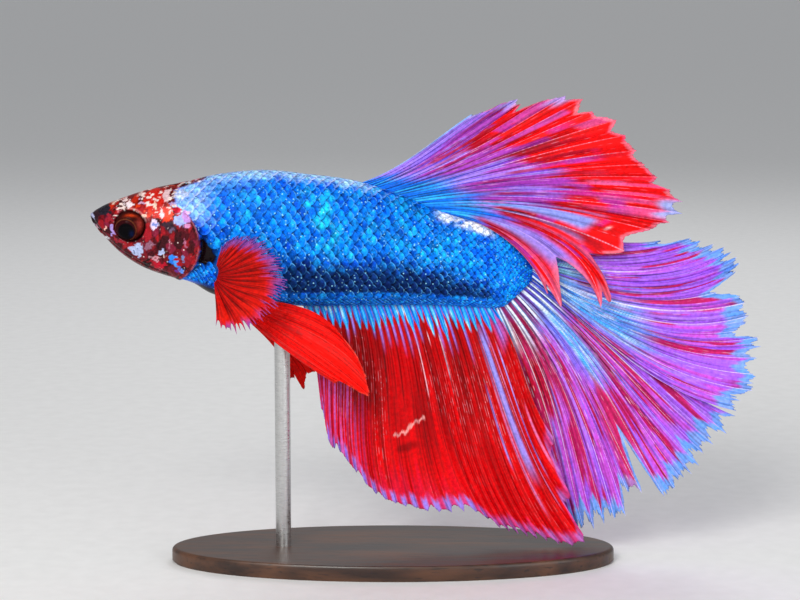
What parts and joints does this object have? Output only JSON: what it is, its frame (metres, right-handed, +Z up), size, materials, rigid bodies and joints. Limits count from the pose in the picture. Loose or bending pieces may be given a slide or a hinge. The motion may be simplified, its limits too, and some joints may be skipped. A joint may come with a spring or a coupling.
{
  "type": "betta fish",
  "caption": "Life-size display model of a long-finned male betta fish with spread fins, on a plain oval stand with a slim rod.",
  "frame": {"origin": "on the underside of the stand's base, below the middle of the whole model's box", "axes": "+X runs from the snout to the tail, +Z is up, and the fish's left side faces -Y"},
  "size_m": [0.068, 0.0176, 0.0482],
  "materials": {
    "head_skin": "moist scaled skin marbled in dark red, orange red, white and pale blue",
    "body_skin": "overlapping iridescent blue scales with pale edges and a dark band low on the flank",
    "eye": "wet black pupil in a dark red iris",
    "median_fin": "thin rayed membrane, blue at the roots, violet and crimson with pale blue tips",
    "paired_fin": "thin rayed membrane, bright red with darker rays",
    "stand_wood": "dark stained, satin lacquer",
    "stand_steel": "fine brushed round rod"
  },
  "bodies": {
    "root": {"head": "head_skin", "lower_jaw": "head_skin", "gill_cover_left": "head_skin", "gill_cover_right": "head_skin", "eye_left": "eye", "eye_right": "eye", "trunk_front": "body_skin", "trunk_middle": "body_skin", "trunk_rear": "body_skin", "tail_stalk": "body_skin", "dorsal_fin": "median_fin", "anal_fin": "median_fin", "tail_fin_upper": "median_fin", "tail_fin_lower": "median_fin", "pectoral_fin_left": "paired_fin", "pectoral_fin_right": "paired_fin", "pelvic_fin_left": "paired_fin", "pelvic_fin_right": "paired_fin", "stand_base": "stand_wood", "stand_rod": "stand_steel"}
  },
  "joints": []
}
